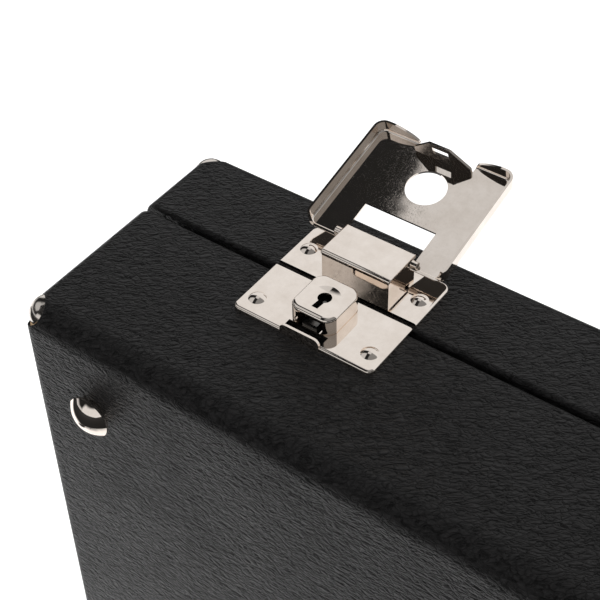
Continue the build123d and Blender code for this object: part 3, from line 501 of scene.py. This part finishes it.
CRADLES = {  # trough and middles along x
    "middle_joint_cradles": (0, (-160.0, 150.0)),
    "head_joint_cradles": (1, (-215.0, -20.0)),
    "foot_joint_cradles": (2, (-220.0, -90.0)),
}
CRADLE_LENGTH = 28.0
CRADLE_TOP = -22.0
CRADLE_LIP, LIP_CORNER = 1.4, (0.3, 0.5)  # rounding of the lips, and the point on it
CHANNEL_RADIUS, CHANNEL_Y = 26.5, -17.0
SIDE_STEPS, CHANNEL_STEPS = 5, 26
CRADLE_ROUND = ((0.0, 1.6), (0.25, 0.75), (0.75, 0.25), (1.6, 0.0))  # from an end: distance and inset
END_FACE = 0.99  # faces more square to X than this are the flat ends


def cradle_outline():
    """A cradle's (y, z) outline with its round channel and rounded lips, about the trough's middle."""
    half = TROUGH_HALF - CLEAR
    shoulder = CRADLE_TOP - CRADLE_LIP
    edge = math.acos((CHANNEL_Y - shoulder) / CHANNEL_RADIUS)
    points = [(BED_Y, -half), (BED_Y, half)]
    for i in range(SIDE_STEPS + 1):
        points.append((BED_Y + (shoulder - BED_Y) * (i + 1) / (SIDE_STEPS + 1), half))
    points.append((CRADLE_TOP - LIP_CORNER[0], half - LIP_CORNER[1]))
    points.append((CRADLE_TOP, half - CRADLE_LIP))
    for i in range(CHANNEL_STEPS + 1):
        angle = edge * (1 - 2 * i / CHANNEL_STEPS)
        points.append((CHANNEL_Y - CHANNEL_RADIUS * math.cos(angle), CHANNEL_RADIUS * math.sin(angle)))
    points.append((CRADLE_TOP, CRADLE_LIP - half))
    points.append((CRADLE_TOP - LIP_CORNER[0], LIP_CORNER[1] - half))
    for i in range(SIDE_STEPS + 1):
        points.append((shoulder + (BED_Y - shoulder) * i / (SIDE_STEPS + 1), -half))
    return points


def cradle_pads(node):
    """The cradles of one joint, as prisms with rounded end edges."""
    index, places = CRADLES[node]
    outline = [Vector(p) for p in cradle_outline()]
    count = len(outline)
    inward = []
    for i in range(count):
        along = outline[(i + 1) % count] - outline[i - 1]
        inward.append(Vector((along.y, -along.x)).normalized())
    middle = sum(outline, Vector((0, 0))) / count
    if inward[0].dot(middle - outline[0]) < 0:
        inward = [-n for n in inward]
    bm = bmesh.new()
    half = CRADLE_LENGTH / 2
    stations = [(-half + distance, inset) for distance, inset in CRADLE_ROUND]
    stations += [(-half / 2, 0.0), (0.0, 0.0)]
    stations += [(-x, inset) for x, inset in reversed(stations[:-1])]
    for at in places:
        rings = []
        for x, inset in stations:
            ring = [outline[i] + inward[i] * inset for i in range(count)]
            rings.append([bm.verts.new(row_point(at + x, p.x, TROUGH_Z[index] + p.y)) for p in ring])
        for a, b in zip(rings, rings[1:]):
            for i in range(count):
                k = (i + 1) % count
                bm.faces.new((a[i], a[k], b[k], b[i]))
        bmesh.ops.triangulate(bm, faces=[bm.faces.new(rings[0]), bm.faces.new(rings[-1])])
    pads = finish_soft(node + "_pads", bm, node, "plush")
    for face in pads.data.polygons:
        face.use_smooth = abs(face.normal.x) < END_FACE


CUSHION_X, CUSHION_LOW_Z, CUSHION_HIGH_Z = 266.8, 13.2, 211.8
CUSHION_Y = 23.4  # at the edge of its face
CUSHION_FACE = 1.5  # depth of the points that belong to its face
CUSHION_ROUND, CUSHION_PITCH, CUSHION_PUCKER = 3.4, 3.2, (0.35, 22)
CROWN, CROWN_AT_SEAM, CROWN_SWELL = 4.0, 0.35, 0.55
CHANNEL_SEAMS = 3
SEAM_DIP, SEAM_WIDTH, SEAM_REACH = 1.6, 1.6, 16


def lid_cushion():
    """Crowned cushion with sewn channels across it."""
    pitch = 2 * CUSHION_X / (CHANNEL_SEAMS + 1)
    seams = [step * pitch - CUSHION_X for step in range(CHANNEL_SEAMS + 2)]
    wrinkle = puckered(*CUSHION_PUCKER)

    def form(spot):
        x, y, z = spot
        if y < CUSHION_Y + CUSHION_FACE:
            across = (z - CUSHION_LOW_Z) / (CUSHION_HIGH_Z - CUSHION_LOW_Z) * 2 - 1
            crown = CROWN * (1 - across**2)
            near = min(abs(x - at) for at in seams)
            swell = 1 - math.exp(-((near / SEAM_REACH) ** 2))
            dip = SEAM_DIP * math.exp(-((near / SEAM_WIDTH) ** 2))
            y = y - crown * (CROWN_AT_SEAM + CROWN_SWELL * swell) + dip
        return wrinkle(Vector((x, y, z)))

    bm = bmesh.new()
    low = (-CUSHION_X, CUSHION_Y, CUSHION_LOW_Z)
    high = (CUSHION_X, ROOF_Y - CLEAR, CUSHION_HIGH_Z)
    soft_box(bm, low, high, CUSHION_ROUND, form, pitch=CUSHION_PITCH)
    finish_soft("lid_cushion", bm, "lid_pad", "plush")


HANDLE_PIVOT_Y, HANDLE_PIVOT_Z = -13.5, 231.5
HANDLE_REACH = 36.0
HANDLE_REST = math.radians(1.273)
GRIP_HALF = 45.0
GRIP_MIDDLE, GRIP_END = (18.0, 14.0), (13.0, 11.0)  # width and thickness
GRIP_SIDES, GRIP_RINGS = 40, 48
GRIP_CLOSING, GRIP_TUCK = 2.0, 0.16  # length over which each end closes in, and by what share
SEWN_SIDE = GRIP_SIDES // 2
SEWN_RISE, SEWN_EDGE = 0.035, 0.985  # the sewn seam stands out, and its two edges lie in


def grip_point(x, along, up):
    """A point of the lying handle: along from the pivot out to the grip, up off the latch face."""
    y = -(along * math.cos(HANDLE_REST) - up * math.sin(HANDLE_REST))
    z = along * math.sin(HANDLE_REST) + up * math.cos(HANDLE_REST)
    return row_point(x, HANDLE_PIVOT_Y + y, HANDLE_PIVOT_Z + z)


def grip():
    """Padded leather grip with a raised sewn seam along its inner side."""
    bm = bmesh.new()
    rings = []
    for i in range(GRIP_RINGS + 1):
        share = -1 + 2 * i / GRIP_RINGS
        closing = min(1.0, (1 - abs(share)) * GRIP_HALF / GRIP_CLOSING)
        tuck = 1 - GRIP_TUCK * (1 - math.sqrt(max(0.0, 1 - (1 - closing) ** 2)))
        swell = 1 - share**2
        width = (GRIP_END[0] + (GRIP_MIDDLE[0] - GRIP_END[0]) * swell) / 2 * tuck
        thick = (GRIP_END[1] + (GRIP_MIDDLE[1] - GRIP_END[1]) * swell) / 2 * tuck
        ring = []
        for k in range(GRIP_SIDES):
            angle = 2 * math.pi * k / GRIP_SIDES
            stitch = 1.0
            if k == SEWN_SIDE:
                stitch = 1.0 + SEWN_RISE * closing
            if abs(k - SEWN_SIDE) == 1:
                stitch = SEWN_EDGE
            up = thick * math.sin(angle) * stitch
            along = HANDLE_REACH + width * math.cos(angle) * stitch
            ring.append(bm.verts.new(grip_point(share * (GRIP_HALF - CLEAR), along, up)))
        rings.append(ring)
    for a, b in zip(rings, rings[1:]):
        for k in range(GRIP_SIDES):
            n = (k + 1) % GRIP_SIDES
            bm.faces.new((a[k], a[n], b[n], b[k]))
    bm.faces.new(rings[0])
    bm.faces.new(rings[-1])
    finish_soft("grip_cover", bm, "handle_grip", "grip_leather")


bed_floor()
wall_strips("base_wall_rolls", "base_wall_pads", BED_Y, BASE_PAD_TOP, WALL_PAD, BASE_PAD_ROUND)
wall_strips("lid_wall_rolls", "lid_wall_pads", LID_PAD_LOW, ROOF_Y, LID_WALL_PAD, LID_PAD_ROUND)
dividers()
cross_walls()
for cradle_node in CRADLES:
    cradle_pads(cradle_node)
lid_cushion()
grip()


# Camera, light and floor


def camera():
    data = bpy.data.cameras.new("camera")
    data.lens = CAMERA_LENS
    data.clip_start = 0.01
    data.clip_end = 20
    piece = link("camera", data)
    turn = Matrix((CAMERA_RIGHT, CAMERA_UP, CAMERA_BACK)).transposed()
    piece.matrix_world = Matrix.Translation(CAMERA_PLACE) @ turn.to_4x4()
    bpy.context.scene.camera = piece


def lamp(name, spot, target, size, power):
    """A soft lamp that metal doesn't mirror."""
    data = bpy.data.lights.new(name, "AREA")
    data.shape = "RECTANGLE"
    data.size, data.size_y = size
    data.energy = power
    piece = link(name, data)
    piece.location = spot
    piece.visible_glossy = False
    piece.rotation_mode = "QUATERNION"
    piece.rotation_quaternion = (Vector(target) - Vector(spot)).to_track_quat("-Z", "Y")


# What polished metal sees: a softbox behind the case and over it on the left, smaller ones in front, a dim
# room on the right and a pale backdrop near the floor. Each has its level and its edges in the direction that
# the metal looks: the axis, where the edge is dark and where it is fully lit.
CEILING_EDGE = (0.916, 0.141, 0.377)  # normal of the plane through the ceiling softbox's left edge
SOFTBOXES = {
    "back": (0.82, (("Y", 0.36, 0.46),)),
    "ceiling": (0.65, (("edge", 0.003, 0.007), ("Y", -0.02, 0.14), ("X", 0.16, 0.0))),
    "side": (0.24, (("Z", 0.30, 0.60), ("X", -0.05, 0.10))),
    "front": (0.58, (("X", -0.395, -0.415), ("Y", 0.08, -0.06), ("Y", -0.74, -0.64), ("Z", 0.30, 0.45))),
    "key": (0.80, (("Y", -0.80, -0.88), ("Z", 0.40, 0.30))),
    "horizon": (0.64, (("Z", 0.16, 0.02),)),
}
ROOM_LEVEL = 0.016
# What lights dull surfaces: more from the front than from behind, as the direction's Y goes down
AMBIENT_BACK, AMBIENT_FRONT = 0.64, 0.96
AMBIENT_EDGE = (0.3, -0.7)


def world():
    """White to the camera, a studio to what mirrors it and a plain level to the rest."""
    studio = bpy.data.worlds.new("studio")
    bpy.context.scene.world = studio
    studio.use_nodes = True
    g = Graph(studio.node_tree)
    g.nodes.clear()

    def glow(strength):
        node = g.nodes.new("ShaderNodeBackground")
        node.inputs["Color"].default_value = (1, 1, 1, 1)
        g.put(node.inputs["Strength"], strength)
        return node.outputs[0]

    def mix(share, low, high):
        node = g.nodes.new("ShaderNodeMixShader")
        for socket, value in zip(node.inputs, (share, low, high)):
            g.put(socket, value)
        return node.outputs[0]

    direction = g.nodes.new("ShaderNodeTexCoord").outputs["Generated"]
    across = g.nodes.new("ShaderNodeVectorMath")
    across.operation = "DOT_PRODUCT"
    g.put(across.inputs[0], direction)
    across.inputs[1].default_value = CEILING_EDGE
    looks = dict(zip("XYZ", g.split(direction)))
    looks["edge"] = across.outputs["Value"]

    room = ROOM_LEVEL
    for level, edges in SOFTBOXES.values():
        box = level
        for axis, dark, lit in edges:
            box = g.math("MULTIPLY", g.rise(looks[axis], dark, lit), box)
        room = g.math("MAXIMUM", box, room)
    path = g.nodes.new("ShaderNodeLightPath")
    mirror = g.math("MAXIMUM", path.outputs["Is Glossy Ray"], path.outputs["Is Transmission Ray"])
    dull = g.rise(looks["Y"], *AMBIENT_EDGE, AMBIENT_BACK, AMBIENT_FRONT)
    lit_world = mix(mirror, glow(dull), glow(room))
    output = g.nodes.new("ShaderNodeOutputWorld")
    g.put(output.inputs["Surface"], mix(path.outputs["Is Camera Ray"], lit_world, glow(1.0)))


FLOOR_HALF = 6.0
FLOOR_GLOW = 0.60  # what the floor shows to the camera and in metal, over its lit colour
FLOOR_FRONT = (-0.24, -0.13)  # in metal the bright floor ends between these, in front of the case
FLOOR_BACK = (0.52, 0.38)  # and between these behind it
FLOOR_COLOUR = (0.82, 0.82, 0.82)
FLOOR_BEYOND = (0.02, 0.02, 0.02)  # what metal sees past the bright floor


def floor():
    """A pale floor that shows white and keeps the object's shadow."""
    mesh = bpy.data.meshes.new("floor")
    turns = ((-1, -1), (1, -1), (1, 1), (-1, 1))
    mesh.from_pydata([(x * FLOOR_HALF, y * FLOOR_HALF, 0) for x, y in turns], [], [(0, 1, 2, 3)])
    piece = link("floor", mesh)
    g = Finish("floor")
    path = g.nodes.new("ShaderNodeLightPath")
    mirrored = g.math("MAXIMUM", path.outputs["Is Glossy Ray"], path.outputs["Is Transmission Ray"])
    y = g.split(g.point)[1]
    near = mirrored
    for ends in (FLOOR_FRONT, FLOOR_BACK):
        near = g.math("MULTIPLY", near, g.rise(y, *ends))
    seen = g.math("MAXIMUM", path.outputs["Is Camera Ray"], near)
    far = g.math("SUBTRACT", mirrored, near)
    g.set(Base_Color=g.blend(far, FLOOR_COLOUR, FLOOR_BEYOND), Roughness=0.8, Specular_IOR_Level=0.1)
    g.set(Emission_Color=(1.0, 1.0, 1.0), Emission_Strength=g.math("MULTIPLY", seen, FLOOR_GLOW))
    mesh.materials.append(g.material)


camera()
world()
floor()
lamp("front", spot=(-0.70, -1.60, 0.60), target=(-0.05, 0, 0.12), size=(1.2, 0.9), power=9)
bpy.context.scene.view_settings.view_transform = "Standard"
